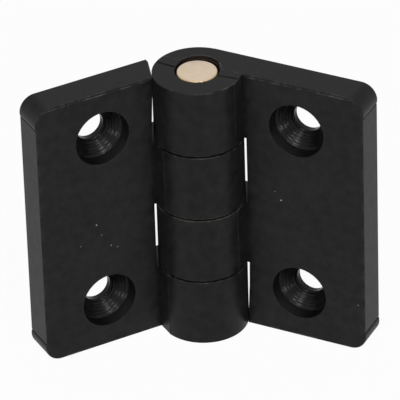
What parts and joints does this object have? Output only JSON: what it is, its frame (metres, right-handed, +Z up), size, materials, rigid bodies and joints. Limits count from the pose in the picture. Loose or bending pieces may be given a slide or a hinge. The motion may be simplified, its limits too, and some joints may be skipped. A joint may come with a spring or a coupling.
{
  "type": "plastic hinge",
  "caption": "Moulded plastic butt hinge, two equal leaves with interleaved knuckles on a metal pin and countersunk screw holes, part open.",
  "frame": {"origin": "centre of the base of the bounding box at rest, on the surface that the hinge stands on, in front of the pin's axis", "axes": "+Z up along the pin; +X towards the outer edge of the right leaf, the one that holds the top knuckle, as seen from the front; -Y to the front, the side that the screws go in from and that the leaves close towards"},
  "size_m": [0.0592, 0.0193, 0.05],
  "materials": {
    "leaf_plastic": "black moulded polyamide with a fine grain",
    "pin_brass": "turned, bare"
  },
  "bodies": {
    "right_leaf_and_pin": {"right_leaf": "leaf_plastic", "hinge_pin": "pin_brass"},
    "left_leaf": {"left_leaf": "leaf_plastic"}
  },
  "joints": [
    {"name": "leaf_swing", "type": "hinge", "parent": "right_leaf_and_pin", "child": "left_leaf", "pos_m": [0, 0.00212, 0.025], "axis": [0, 0, 1], "range_deg": [-124, 131]}
  ]
}
